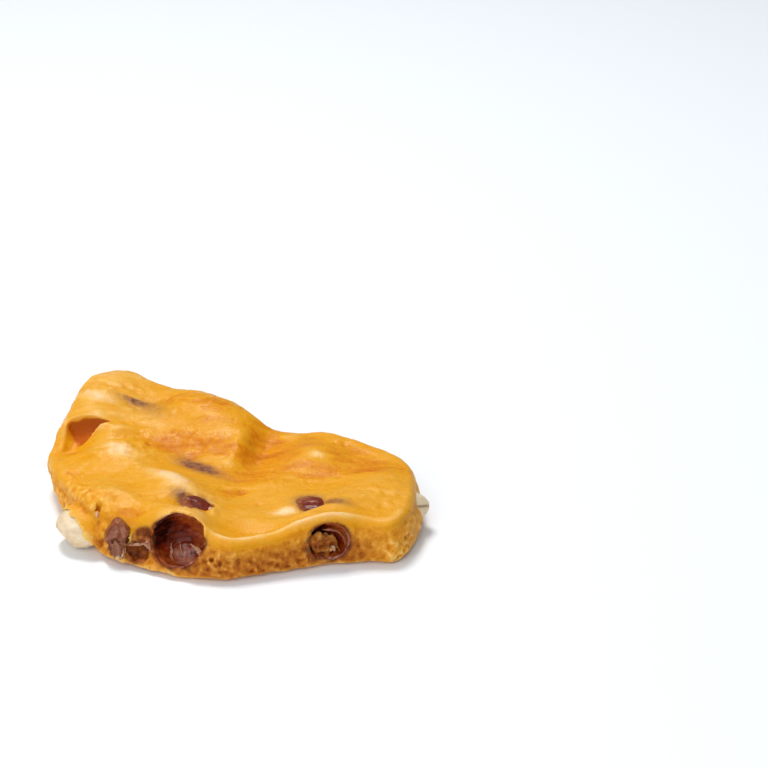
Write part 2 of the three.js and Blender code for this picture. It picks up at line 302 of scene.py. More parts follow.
def noise(points, size, seed):
    """Smooth noise from -1 to 1, with features of the given size along each axis."""
    axes = points.shape[-1]
    place = points / np.broadcast_to(np.asarray(size, float), (axes,))
    place = place - np.floor(place.reshape(-1, axes).min(0))
    whole = np.floor(place).astype(int)
    part = place - whole
    part = part * part * part * (part * (part * 6 - 15) + 10)
    lattice = np.random.default_rng(seed).uniform(-1, 1, whole.reshape(-1, axes).max(0) + 2)
    return mixed(lattice, whole, part)


def bell_sum(bells, x, y):
    total = np.zeros(np.broadcast(x, y).shape)
    for cx, cy, rise, along_width, *across_widths, turn in bells:
        angle = math.radians(turn)
        along = (x - cx) * math.cos(angle) + (y - cy) * math.sin(angle)
        across = (y - cy) * math.cos(angle) - (x - cx) * math.sin(angle)
        width = np.where(across < 0, across_widths[-1], across_widths[0])
        total += rise * np.exp(-0.5 * ((along / along_width) ** 2 + (across / width) ** 2))
    return total


def unit_rows(vectors):
    return vectors / np.maximum(np.linalg.norm(vectors, axis=1), 1e-9)[:, None]


def ellipsoid_distance(points, middle, half):
    scaled = (points - np.array(middle)) / np.array(half)
    k0 = np.linalg.norm(scaled, axis=-1)
    k1 = np.linalg.norm(scaled / np.array(half), axis=-1)
    return k0 * (k0 - 1) / np.maximum(k1, 1e-6)


def kernel_axes(turn, tip):
    """Rows are the kernel's long, wide and thick directions."""
    a, b = math.radians(turn), math.radians(tip)
    long = np.array([math.cos(a) * math.cos(b), math.sin(a) * math.cos(b), math.sin(b)])
    wide = np.array([-math.sin(a), math.cos(a), 0])
    return np.array([long, wide, np.cross(long, wide)])


def kernel_girth(along):
    return 1 - 0.1 * along - 0.06 * along**2


def kernel_distance(points, kernel):
    middle, size, turn, tip = kernel
    local = (points - np.array(middle)) @ kernel_axes(turn, tip).T
    girth = kernel_girth(np.clip(2 * local[..., 0] / size[0], -1, 1))
    local[..., 1] /= girth
    local[..., 2] /= girth
    return ellipsoid_distance(local, (0, 0, 0), np.array(size) / 2)


def round_max(a, b, radius):
    """The larger of two distances, with the edge where they meet rounded."""
    over_a = np.maximum(a + radius, 0)
    over_b = np.maximum(b + radius, 0)
    return np.minimum(np.maximum(a, b), -radius) + np.hypot(over_a, over_b)


# ---- the form of the sheet ----


def top_height(x, y):
    wave = 0.22 * np.sin(0.31 * x + 0.17 * y + 1.1) + 0.18 * np.sin(0.23 * y - 0.4 * x + 0.4)
    return THICKNESS + bell_sum(SWELLS, x, y) + wave


def dent_share(x, y):
    """1 at the bottom of the dent and 0 outside its three corners."""
    share = 1
    ragged = DENT_RAGGED * noise(np.stack([x, y], -1), 1.7, 17)
    for (ax, ay), (bx, by), slope in zip(DENT, DENT[1:] + DENT[:1], DENT_SLOPES):
        inward = ((bx - ax) * (y - ay) - (by - ay) * (x - ax)) / math.dist((ax, ay), (bx, by)) + ragged
        share = share * (1 - np.clip(1 - inward / slope, 0, 1) ** 2)
    return share


def closed_curve(points, steps=24):
    """The closed centripetal Catmull-Rom curve through the points."""
    points = np.array(points, float)
    count = len(points)
    share = np.arange(steps)[:, None] / steps
    pieces = []
    for i in range(count):
        p0, p1, p2, p3 = (points[(i + k - 1) % count] for k in range(4))
        d0, d1, d2 = (math.sqrt(math.dist(a, b)) for a, b in ((p0, p1), (p1, p2), (p2, p3)))
        t1 = ((p1 - p0) / d0 - (p2 - p0) / (d0 + d1) + (p2 - p1) / d1) * d1
        t2 = ((p2 - p1) / d1 - (p3 - p1) / (d1 + d2) + (p3 - p2) / d2) * d1
        cubic = p1 + t1 * share + (3 * (p2 - p1) - 2 * t1 - t2) * share**2
        pieces.append(cubic + (2 * (p1 - p2) + t1 + t2) * share**3)
    return np.concatenate(pieces)


FOOT_CURVE = closed_curve(FOOT)
FOOT_BACK = SETBACK + bell_sum(SETBACKS, FOOT_CURVE[:, 0], FOOT_CURVE[:, 1])


def outline_distance(x, y):
    """Distance to the foot, negative inside it, and how far the rim stands back there."""
    nearest = np.full(x.shape, np.inf)
    back = np.zeros(x.shape)
    inside = np.zeros(x.shape, bool)
    for (ax, ay), (bx, by), here_back in zip(FOOT_CURVE, np.roll(FOOT_CURVE, -1, 0), FOOT_BACK):
        dx, dy = bx - ax, by - ay
        share = np.clip(((x - ax) * dx + (y - ay) * dy) / (dx * dx + dy * dy), 0, 1)
        distance = np.hypot(x - ax - share * dx, y - ay - share * dy)
        closer = distance < nearest
        nearest[closer] = distance[closer]
        back[closer] = here_back
        if ay != by:
            inside ^= ((ay > y) != (by > y)) & (x < ax + (y - ay) * dx / dy)
    return np.where(inside, -nearest, nearest), back


LOW = np.array([-35.2, -28.6, -0.8])
HIGH = np.array([35.2, 31.2, 15.2])
AXES = [np.arange(low, high, CELL) for low, high in zip(LOW, HIGH)]
grid = np.stack(np.meshgrid(*AXES, indexing="ij"), -1)
plan = grid[:, :, 0, :2].copy()
outline, back = outline_distance(plan[..., 0], plan[..., 1])


def fine_top():
    """The top face with its flow streaks, the lip along its front rim, blisters and pits."""
    x, y = plan[..., 0], plan[..., 1]
    top = top_height(x, y) + bell_sum(MARKS, x, y)
    (px, py, pz), (rise_x, rise_y) = DENT_FLOOR
    floor = pz + rise_x * (x - px) + rise_y * (y - py)
    floor += 0.07 * noise(plan, 1.6, 18)
    floor += 0.04 * noise(plan, 0.8, 19)
    top += np.minimum(floor - top, 0) * dent_share(x, y)
    rise, inward, width = FRONT_LIP
    front = smooth_step(-4, -1, x) * smooth_step(26, 20, x) * smooth_step(-14, -17, y)
    top += rise * front * np.exp(-(((outline + back + inward) / width) ** 2))
    top += 0.1 * noise(plan, (7, 2.2), 11) + 0.07 * noise(plan, (3.4, 1.1), 12)
    top += 0.045 * noise(plan, (1.4, 0.9), 13)
    nubbly = bell_sum(NUBBLY, x, y) + 0.35 * smooth_step(0, 0.6, noise(plan, 7, 14))
    top += nubbly * (0.11 * noise(plan, 1.1, 15) + 0.09 * noise(plan, 0.75, 16))
    chance = np.random.default_rng(21)
    for _ in range(BLISTERS):
        cx, cy = chance.uniform(-33, 33), chance.uniform(-26, 29)
        radius = chance.uniform(0.28, 0.6)
        height = chance.choice([-0.2, -0.12, 0.1, 0.16]) * chance.uniform(0.5, 1)
        i, j = near((cx, cy, 0), 2)[:2]
        gap = (x[i, j] - cx) ** 2 + (y[i, j] - cy) ** 2
        top[i, j] += height * np.exp(-gap / radius**2)
    return top


def near(middle, reach):
    """The part of the grid that lies within reach of a point."""
    low = np.maximum(0, ((np.array(middle) - reach - LOW) / CELL).astype(int))
    high = np.maximum(low + 1, ((np.array(middle) + reach - LOW) / CELL).astype(int) + 2)
    return tuple(slice(a, b) for a, b in zip(low, high))


def pit_places(chance):
    """Random points on the broken sides, and the way out of the side at each."""
    tangent = np.roll(FOOT_CURVE, -1, 0) - np.roll(FOOT_CURVE, 1, 0)
    outward = unit_rows(np.stack([tangent[:, 1], -tangent[:, 0]], -1))
    at = chance.integers(0, len(FOOT_CURVE), PITS)
    at = at[FOOT_CURVE[at, 0] > PITS_LEFT]
    up = chance.uniform(*PITS_SPAN, len(at))
    inward = FOOT_BACK[at] * up - BELLY * np.sin(math.pi * up)
    place = FOOT_CURVE[at] - outward[at] * inward[:, None]
    top = top_height(*(place - outward[at]).T)
    height = FOOT_CHAMFER + up * (top - RIM_ROUND - FOOT_CHAMFER)
    return zip(np.column_stack([place, height]), np.column_stack([outward[at], 0 * up]))


def add(field, box, shape, edge):
    """Joins a shape to the sheet, with the seam rounded."""
    field[box] = -round_max(-field[box], -shape, edge)


def cut(field, box, shape, edge):
    """Takes a shape out of the sheet, with the rim rounded."""
    field[box] = round_max(field[box], -shape, edge)


def carve(field, middle, half, uneven=0, edge=0.2):
    """Takes an egg out of the sheet."""
    box = near(middle, np.max(half) + 1.5)
    egg = ellipsoid_distance(grid[box], middle, np.ones(3) * half)
    if uneven:
        egg -= uneven * (0.5 * noise(grid[box], 1.3, 51) + 0.5 * noise(grid[box], 0.75, 52))
    cut(field, box, egg, edge)


fine = fine_top()


def break_distance(name, points):
    """Distance in plan to the break over a kernel, negative within it."""
    cx, cy, long, short, turn = WINDOWS[name]
    bell = bell_sum([(cx, cy, 1, long, short, turn)], points[..., 0], points[..., 1])
    return short * (np.sqrt(-2 * np.log(np.maximum(bell, 1e-9))) - 1)


def whole_sheet():
    """Distance to the sheet before it is hollowed, negative inside, at every corner of the cells."""
    z = grid[..., 2]
    top = fine[:, :, None]
    up = np.clip((z - FOOT_CHAMFER) / (top - RIM_ROUND - FOOT_CHAMFER), 0, 1)
    side = outline[:, :, None] + back[:, :, None] * up - BELLY * np.sin(math.pi * up)
    band = abs(side) < ROUGH_BAND
    here = grid[band]
    rough = 0.28 * noise(here, 4.2, 31) + 0.2 * noise(here, 1.9, 32) + 0.16 * noise(here, 1, 33)
    granular = 0.4 * abs(noise(here, 1.6, 34)) + 0.3 * abs(noise(here, 0.8, 35))
    granular *= 0.75 + 0.5 * noise(here, 3.2, 37)
    rough -= granular * smooth_step(-12, -20, here[:, 0])
    side[band] += rough * smooth_step(1.15, 0.8, up[band])
    x, y = plan[..., 0], plan[..., 1]
    side -= bell_sum(FOOT_SPREAD, x, y)[:, :, None] * smooth_step(0.6, 0.1, up)
    field = round_max(side, z - top, RIM_ROUND)
    lift = (FOOT_CHAMFER + 0.3 + 0.3 * noise(plan, 3.6, 36)) * smooth_step(-2.2, 0, outline)
    lift += bell_sum(FOOT_LIFTS, x, y) * smooth_step(-4.5, 0, outline)
    underside = lift[:, :, None] - z
    field = round_max(field, underside, 0.35)
    edge = KERNELS["peanut_edge"]
    box = near(edge[0], 9)
    coat = round_max(kernel_distance(grid[box], edge) - EDGE_COAT, underside[box], 0.3)
    add(field, box, coat, 0.7)
    for middle, half in EDGE_BITES:
        carve(field, middle, half, 0.5)
    return field


def wall_front_socket(field, body):
    """Fills the hollows too near the front socket, and ends its roof bluntly where it grows thin."""
    middle, half = SOCKETS["skin_front"]
    box = near(middle, 7)
    wall = np.maximum(ellipsoid_distance(grid[box], middle, half) - SOCKET_WALL, body[box])
    add(field, box, wall, 0.2)
    off = (((plan[box[:2]] - middle[:2]) / half[:2]) ** 2).sum(-1)
    roof = fine[box[:2]] - middle[2] - half[2] * np.sqrt(np.maximum(1 - off, 0))
    thin = SOCKET_ROOF + 0.25 * noise(plan[box[:2]], 1.1, 59) - roof - 9 * (off > 1)
    thin = np.minimum(thin[:, :, None], grid[box][..., 2] - middle[2])
    cut(field, box, -thin, 0.12)
    body[box] = np.maximum(body[box], thin)


def fill_right_socket(field, body):
    """Puts the crumbly mass back into the right socket."""
    middle, half = CRUMBLE
    box = near(middle, 4)
    here = grid[box]
    fill = ellipsoid_distance(here, middle, half) + 0.9 * noise(here, 1.4, 56)
    hollows = 0.5 + 0.5 * noise(here, 1.5, 58) + 0.6 * abs(noise(here, 0.8, 57))
    fill = np.maximum(fill + 0.5 * abs(noise(here, 0.7, 57)), body[box] + hollows)
    add(field, box, fill, 0.15)


def seat_kernel(field, name):
    """Makes room for a kernel, and breaks the caramel open where it shows."""
    middle, size = KERNELS[name][:2]
    box = near(middle, max(size) / 2 + 2.5)
    here = grid[box]
    distance = kernel_distance(here, KERNELS[name])
    field[box] = np.maximum(field[box], -distance - KERNEL_LAP)
    if name in WINDOWS:
        film = distance + fine[box[:2]][:, :, None] - here[..., 2]
        ragged = noise(here, 1.9, 53) + 0.8 * noise(here, 0.9, 54)
        window = round_max(film - FILM, break_distance(name, here) - ragged, 0.2)
        cut(field, box, np.maximum(window, middle[2] + WINDOW_FLOOR - here[..., 2]), 0.15)
    if name == "peanut_left":
        gap = distance - 0.05 - 0.3 * noise(here, 1.3, 55)
        cut(field, box, np.maximum(gap, here[..., 1] - GAP_BACK), 0.15)


def sheet_field():
    """The field of the sheet with all its hollows, and of the sheet without them."""
    body = whole_sheet()
    field = body.copy()
    chance = np.random.default_rng(41)
    for place, outward in pit_places(chance):
        radius = 0.2 + 0.35 * chance.uniform() ** 2
        carve(field, place + outward * radius * chance.uniform(0.1, 0.7), radius, 0, 0.25)
    for middle, half in [*CELLS, PIN_HOLE]:
        carve(field, middle, half, 0.8)
    wall_front_socket(field, body)
    for middle, half in SOCKETS.values():
        carve(field, middle, half, 0.1)
    fill_right_socket(field, body)
    for _ in range(BUBBLES):
        place = chance.uniform(LOW, HIGH)
        radius = chance.uniform(0.5, 1.5)
        place[2] = -radius * chance.uniform(0.3, 0.85)
        i, j = ((place[:2] - LOW[:2]) / CELL).astype(int)
        if outline[i, j] < -BUBBLES_IN:
            carve(field, place, radius, 0, 0.15)
    for name in KERNELS:
        seat_kernel(field, name)
    return field, body


def part_of(array, ends):
    """The part of an array between the given ends along some of its axes."""
    return array[tuple(slice(*ends.get(axis, (None,))) for axis in range(array.ndim))]


def untangle(field):
    """Fills a corner wherever the inside corners of a cell's face lie on one diagonal alone."""
    changed = True
    while changed:
        changed = False
        for axis in range(3):
            u, v = (axis + 1) % 3, (axis + 2) % 3
            wide, high = field.shape[u] - 1, field.shape[v] - 1
            corner = {}
            for du, dv in ((0, 0), (1, 0), (0, 1), (1, 1)):
                corner[du, dv] = part_of(field, {u: (du, wide + du), v: (dv, high + dv)})
            for du in (0, 1):
                solid = (corner[du, 0] < 0) & (corner[1 - du, 1] < 0)
                tangled = solid & (corner[1 - du, 0] >= 0) & (corner[du, 1] >= 0)
                corner[du, 1][tangled] = -0.02
                changed = changed or tangled.any()


def surface_nets(field):
    """The quads round field = 0, one corner in each cell that the surface crosses."""
    inside = field < 0
    cells = [n - 1 for n in field.shape]
    sums = np.zeros([*cells, 3])
    counts = np.zeros(cells)
    for axis in range(3):
        first, second = {axis: (0, -1)}, {axis: (1, None)}
        at = np.argwhere(part_of(inside, first) != part_of(inside, second))
        a = part_of(field, first)[tuple(at.T)]
        b = part_of(field, second)[tuple(at.T)]
        place = at.astype(float)
        place[:, axis] += a / (a - b)
        others = [k for k in range(3) if k != axis]
        for i in (0, 1):
            for j in (0, 1):
                cell = at.copy()
                cell[:, others[0]] -= i
                cell[:, others[1]] -= j
                fits = ((cell >= 0) & (cell < cells)).all(1)
                index = tuple(cell[fits].T)
                sums[index] += place[fits]
                counts[index] += 1
    used = counts > 0
    number = np.full(cells, -1)
    number[used] = np.arange(used.sum())
    corners = LOW + CELL * sums[used] / counts[used][:, None]
    quads = []
    for axis in range(3):
        u, v = (axis + 1) % 3, (axis + 2) % 3
        start, end = (part_of(inside, {axis: ends, u: (1, -1), v: (1, -1)}) for ends in ((0, -1), (1, None)))
        at = np.argwhere(start != end)
        leaving = start[start != end]
        at[:, u] += 1
        at[:, v] += 1
        ring = []
        for du, dv in ((-1, -1), (0, -1), (0, 0), (-1, 0)):
            cell = at.copy()
            cell[:, u] += du
            cell[:, v] += dv
            ring.append(number[tuple(cell.T)])
        ring = np.stack(ring, 1)
        ring[~leaving] = ring[~leaving][:, ::-1]
        quads.append(ring)
    return corners, np.concatenate(quads)


def keep_largest(corners, quads):
    """Drops the crumbs that the hollows cut loose from the sheet."""
    label = np.arange(len(corners))
    while True:
        new = label.copy()
        np.minimum.at(new, quads.ravel(), np.repeat(label[quads].min(1), 4))
        new = new[new]
        if (new == label).all():
            break
        label = new
    keep = label == np.bincount(label).argmax()
    number = np.cumsum(keep) - 1
    return corners[keep], number[quads[keep[quads[:, 0]]]]


# ---- meshes ----


def mesh_object(name, corners, faces, paints):
    """A mesh with numbers at its corners for the materials, with no corner below the table."""
    mesh = bpy.data.meshes.new(name)
    corners = np.maximum(corners, (-np.inf, -np.inf, 0))
    mesh.from_pydata(((corners - BOX_MIDDLE) * MM).tolist(), [], [list(face) for face in faces])
    mesh.polygons.foreach_set("use_smooth", [True] * len(mesh.polygons))
    mesh.update()
    for key, values in paints.items():
        layer = mesh.attributes.new(key, "FLOAT", "POINT")
        layer.data.foreach_set("value", np.asarray(values, np.float32))
    piece = bpy.data.objects.new(name, mesh)
    bpy.context.scene.collection.objects.link(piece)
    return piece


def finish_piece(piece, material, slot, *nodes):
    piece.data.materials.append(material)
    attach(piece, "root")
    if nodes:
        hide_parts(*nodes)


def relief(corners, quads, rounds):
    """How far each corner stands above the smoothed surface round it, in millimetres, and the normals."""
    count = len(corners)
    a = quads.ravel()
    b = np.roll(quads, -1, 1).ravel()
    degree = np.bincount(a, minlength=count) + np.bincount(b, minlength=count)
    soft = corners.copy()
    for _ in range(rounds):
        total = [np.bincount(a, soft[b, k], count) + np.bincount(b, soft[a, k], count) for k in range(3)]
        soft = np.stack(total, -1) / degree[:, None]
    face_normal = np.cross(soft[quads[:, 2]] - soft[quads[:, 0]], soft[quads[:, 3]] - soft[quads[:, 1]])
    total = [np.bincount(a, np.repeat(face_normal[:, k], 4), count) for k in range(3)]
    normal = unit_rows(np.stack(total, -1))
    return ((corners - soft) * normal).sum(1), normal


def blurred(height, radius):
    """The height map averaged over a square of the given half width."""
    reach = int(radius / CELL)
    for axis in (0, 1):
        padded = np.pad(height, [(reach + 1, reach) if k == axis else (0, 0) for k in (0, 1)], "edge")
        total = np.cumsum(padded, axis)
        size = height.shape[axis]
        late = np.take(total, range(2 * reach + 1, 2 * reach + 1 + size), axis)
        height = (late - np.take(total, range(size), axis)) / (2 * reach + 1)
    return height


def look_up(height, points):
    index = np.clip(((points[:, :2] - LOW[:2]) / CELL).round().astype(int), 0, np.array(height.shape) - 1)
    return height[tuple(index.T)]


def thin_out(piece, chosen, share):
    """Merges flat faces among the chosen corners until that share of all the triangles is left."""
    piece.vertex_groups.new(name="flat").add(chosen.tolist(), 1, "REPLACE")
    thin = piece.modifiers.new("thin", "DECIMATE")
    thin.ratio = share
    thin.vertex_group = "flat"
    whole = piece.data
    view = bpy.context.evaluated_depsgraph_get()
    result = piece.evaluated_get(view)
    thinned = bpy.data.meshes.new_from_object(result, preserve_all_data_layers=True, depsgraph=view)
    piece.modifiers.clear()
    piece.vertex_groups.clear()
    piece.data = thinned
    bpy.data.meshes.remove(whole)
    thinned.name = piece.name


def sheet_paints(corners, quads):
    """What the caramel's material needs to know at each corner."""
    x, y, z = corners.T
    crest, _ = relief(corners, quads, 4)
    broad, normal = relief(corners, quads, 16)
    facing_up = smooth_step(0.25, 0.6, normal[:, 2])
    top = look_up(fine, corners)
    below = top - z
    hidden = smooth_step(0.2, 1.2, below)
    up = np.clip(z / np.maximum(top, 1), 0, 1)
    left = smooth_step(-24, -28, x)
    broken = smooth_step(0.9 - 0.6 * left, 2 - left, below)
    broken *= smooth_step(0.75, 0.45, normal[:, 2]) * (z > 0.02)
    foot = smooth_step(4.4, 3.2, z) * smooth_step(-9, -12, x)
    foot *= smooth_step(-25, -23, x)
    foot *= smooth_step(-16, -18, y)
    broken = np.maximum(broken, foot)
    crust = bell_sum(CRUSTS, x, y) + 0.5 * noise(corners, 1.5, 64)
    broken = np.maximum(broken, 0.75 * smooth_step(0.3, 0.9, crust))
    in_dent = dent_share(x, y)
    broken = np.maximum(broken, smooth_step(0.3, 0, z)) * (1 - smooth_step(0.02, 0.2, in_dent))
    # Painted light and shade: the top's colour is lighter on its swells and darker in the hollows between
    # them
    swell = look_up(fine - blurred(blurred(fine, 2.6), 2.6), corners)
    tone = 0.5 + 0.3 * np.clip(swell, -0.6, 0.6) + 0.5 * bell_sum(PALE_AND_SHEEN, x, y) - 0.5 * bell_sum(DEEP, x, y)
    # Painted highlight along the lip of the front rim; just over the rim, on the front face, the colour is
    # made darker
    to_rim = look_up(outline + back, corners)
    front = smooth_step(-5, 0, x) * smooth_step(-12, -17, y)
    tone += front * (0.24 * np.exp(-(((to_rim + 1.4) / 0.9) ** 2)) - 0.2 * smooth_step(-1, 0, to_rim))
    # Painted shadow of the ledge in the dent: darkest under its top edge and lighter towards its lower left
    dent = smooth_step(0, 0.25, in_dent)
    tone = np.maximum(tone, 0.24) * (1 - dent)
    tone += dent * (-0.06 + 0.42 * smooth_step(11.4, 7.4, y + 1.2 * (x + 30)))
    tone += 0.08 * noise(corners, (6, 1.6, 3), 61) + 0.06 * noise(corners, (2.5, 0.7, 2), 62)
    purple = bell_sum(STAINS, x, y) * facing_up
    for name in WINDOWS:
        film = kernel_distance(corners, KERNELS[name])
        purple = np.maximum(purple, 0.7 * np.exp(-np.maximum(film, 0) / 0.3) * facing_up)
    # Painted shade inside the cells and round the sockets, below the top face; in the right socket, the brown
    # of the crumbs that stayed there
    dark_in_hollows = np.zeros(len(corners))
    for middle, half in [*CELLS, *SOCKETS.values()]:
        dark_in_hollows = np.maximum(dark_in_hollows, smooth_step(0.9, 0.3, ellipsoid_distance(corners, middle, half)))
    dark_in_hollows *= hidden
    stuck = smooth_step(0.5, -0.3, ellipsoid_distance(corners, *CRUMBLE)) * hidden
    stuck *= np.clip(0.8 + 0.9 * noise(corners, 1.2, 63) - 0.08 * (x - CRUMBLE[0][0]), 0.2, 1)
    dark_in_hollows = np.maximum(dark_in_hollows * (1 - stuck), 0.85 * stuck)
    # Browner low on the front broken face, and at the left foot
    browner_low_face = smooth_step(-13, -6, x) * smooth_step(30, 20, x) * smooth_step(-14, -18, y)
    browner_low_face *= smooth_step(0.02, 0.15, up) * smooth_step(0.84, 0.5, up)
    browner_low_face = np.maximum(browner_low_face, 0.55 * foot)
    return {
        "tone": tone,
        "purple": np.clip(purple, 0, 1),
        "broken": broken,
        "dark_in_hollows": dark_in_hollows,
        "browner_low_face": browner_low_face,
        # crest: how far each corner stands above the surface round it, used as painted light on ridges and
        # painted shade in pits
        "crest": np.clip(crest / 0.12, -1, 1) * 0.6 + np.clip(broad / 0.3, -1, 1) * 0.4,
    }


# ---- materials ----


def rgb(red, green, blue):
    """A colour of 0 to 255 a channel, as seen on a screen, in Blender's linear values."""
    shares = (red / 255, green / 255, blue / 255)
    return (*(c / 12.92 if c <= 0.04045 else ((c + 0.055) / 1.055) ** 2.4 for c in shares), 1)


class Nodes:
    """Short names for the kinds of node that the materials and the world use."""

    def __init__(self, holder):
        holder.use_nodes = True
        self.tree = holder.node_tree

    def link(self, value, socket):
        """Sets a socket to a number or colour, to another socket's value or to the paint of that name."""
        if isinstance(value, str):
            node = self.tree.nodes.new("ShaderNodeAttribute")
            node.attribute_name = value
            value = node.outputs["Fac"]
        if isinstance(value, bpy.types.NodeSocket):
            self.tree.links.new(value, socket)
        else:
            socket.default_value = value

    def math(self, operation, *values):
        node = self.tree.nodes.new("ShaderNodeMath")
        node.operation = operation
        for value, socket in zip(values, node.inputs):
            self.link(value, socket)
        return node.outputs[0]

    def level(self, value, low, high, start=0, end=1, kind="SMOOTHSTEP"):
        """start where value is low, end where it is high."""
        node = self.tree.nodes.new("ShaderNodeMapRange")
        node.interpolation_type = kind
        keys = ("Value", "From Min", "From Max", "To Min", "To Max")
        for key, part in zip(keys, (value, low, high, start, end)):
            self.link(part, node.inputs[key])
        return node.outputs[0]

    def ramp(self, value, *stops):
        """Colours along a value, each with its place first."""
        node = self.tree.nodes.new("ShaderNodeValToRGB")
        elements = node.color_ramp.elements
        while len(elements) < len(stops):
            elements.new(0.5)
        for element, (at, *colour) in zip(elements, stops):
            element.position = at
            element.color = rgb(*colour)
        self.link(value, node.inputs["Fac"])
        return node.outputs["Color"]

    def mix(self, share, first, second):
        node = self.tree.nodes.new("ShaderNodeMix")
        node.data_type = "RGBA"
        self.link(share, node.inputs[0])
        self.link(first, node.inputs[6])
        self.link(second, node.inputs[7])
        return node.outputs[2]

    def bump(self, height, depth, before=None):
        """Relief of that many millimetres from a height round 0 to 1."""
        node = self.tree.nodes.new("ShaderNodeBump")
        node.inputs["Distance"].default_value = depth * MM
        self.link(height, node.inputs["Height"])
        if before:
            self.tree.links.new(before, node.inputs["Normal"])
        return node.outputs["Normal"]


class Look(Nodes):
    """A procedural material."""

    def __init__(self, name, **sockets):
        self.material = bpy.data.materials.new(name)
        super().__init__(self.material)
        self.shader = self.tree.nodes["Principled BSDF"]
        self.place = self.tree.nodes.new("ShaderNodeTexCoord").outputs["Object"]
        for key, value in sockets.items():
            self.shader.inputs[key.replace("_", " ")].default_value = value

    def noise(self, size, detail=2, stretch=(1, 1, 1), roughness=0.5):
        """Noise round 0.5 with features of that many millimetres, drawn out by stretch."""
        mapping = self.tree.nodes.new("ShaderNodeMapping")
        mapping.inputs["Scale"].default_value = [1 / (MM * size * share) for share in stretch]
        self.tree.links.new(self.place, mapping.inputs["Vector"])
        node = self.tree.nodes.new("ShaderNodeTexNoise")
        node.inputs["Scale"].default_value = 1
        node.inputs["Detail"].default_value = detail
        node.inputs["Roughness"].default_value = roughness
        self.tree.links.new(mapping.outputs[0], node.inputs["Vector"])
        return node.outputs["Fac"]

    def done(self, colour, roughness=None, normal=None):
        for value, key in ((colour, "Base Color"), (roughness, "Roughness"), (normal, "Normal")):
            if value is not None:
                self.link(value, self.shader.inputs[key])
        return self.material


def caramel_look():
    look = Look("golden_caramel", Subsurface_Weight=0.5, Subsurface_Scale=0.001, Specular_IOR_Level=0.19)
    look.shader.inputs["Subsurface Radius"].default_value = (1, 0.45, 0.12)
    look.shader.inputs["Specular Tint"].default_value = (1, 0.94, 0.78, 1)
    grain = look.noise(0.5, 3)
    streak = look.noise(1.8, 2, (3, 1, 1.5))
    tone = look.math("MULTIPLY_ADD", streak, 0.18, "tone")
    tone = look.math("MULTIPLY_ADD", grain, 0.2, tone)
    tone = look.math("SUBTRACT", tone, 0.19)
    # Painted light and shade: lighter on fine ridges, darker in fine pits
    tone = look.math("MULTIPLY_ADD", "crest", 0.12, tone)
    # The lowest stops give the painted shadow in the dent
    golds = [(0, 180, 83, 0), (0.18, 214, 128, 3), (0.35, 226, 153, 14)]
    golds += [(0.6, 229, 162, 46), (0.8, 236, 178, 88), (1, 243, 200, 146)]
    top = look.ramp(tone, *golds)
    # The broken side's colour, with painted shade in its pits and painted light on its ridges
    crumb = look.math("MULTIPLY_ADD", "crest", 0.3, look.noise(1, 5, roughness=0.6))
    ambers = [(0.22, 188, 96, 8), (0.4, 220, 138, 20), (0.6, 236, 163, 46), (0.8, 247, 198, 108)]
    browns = [(0.22, 118, 44, 4), (0.45, 162, 80, 8), (0.65, 192, 112, 20), (0.85, 222, 152, 60)]
    side = look.ramp(crumb, *ambers)
    browner_side = look.ramp(crumb, *browns)
    side = look.mix(look.math("MULTIPLY", "browner_low_face", 0.85), side, browner_side)
    colour = look.mix("broken", top, side)
    blotch = look.level(look.noise(0.8, 3), 0.3, 0.7, 0.75, 1.1)
    stained = look.ramp(look.noise(0.7, 3), (0.3, 96, 48, 40), (0.7, 140, 84, 60))
    colour = look.mix(look.math("MULTIPLY", "purple", blotch), colour, stained)
    # Painted shade in the hollows, and the brown of the crumbs in the right socket
    hollow_browns = look.ramp(look.noise(1.2, 4), (0.3, 84, 26, 4), (0.55, 140, 66, 14), (0.75, 200, 122, 50))
    colour = look.mix("dark_in_hollows", colour, hollow_browns)
    roughness = look.level(look.noise(2.2, 4, (2, 1, 1)), 0.3, 0.7, 0.26, 0.44)
    roughness = look.math("MULTIPLY_ADD", "broken", 0.2, roughness)
    roughness = look.math("ADD", roughness, look.level(tone, 0.22, 0.02, 0, 0.3))
    crumbs = look.math("MULTIPLY", "broken", look.noise(0.45, 4))
    normal = look.bump(look.math("ADD", crumbs, look.noise(0.4, 3, (1.3, 1, 1))), 0.09)
    return look.done(colour, roughness, normal)


# The torn edge's colours also give the painted reflection on a socket's mound
SKINS = {  # dark, middle and light, then dark and light of the torn edge
    "nut_skin_dark": ((34, 5, 2), (122, 36, 7), (186, 92, 38), (98, 50, 42), (190, 138, 124)),
    "nut_skin_wet": ((66, 14, 4), (114, 36, 10), (164, 92, 50), (150, 84, 62), (226, 172, 148)),
    "nut_skin_broken": ((96, 38, 12), (144, 74, 40), (184, 114, 76), (118, 58, 38), (196, 134, 106)),
    "nut_skin_torn": ((104, 50, 30), (144, 82, 56), (184, 120, 88), (212, 136, 98), (240, 190, 154)),
}


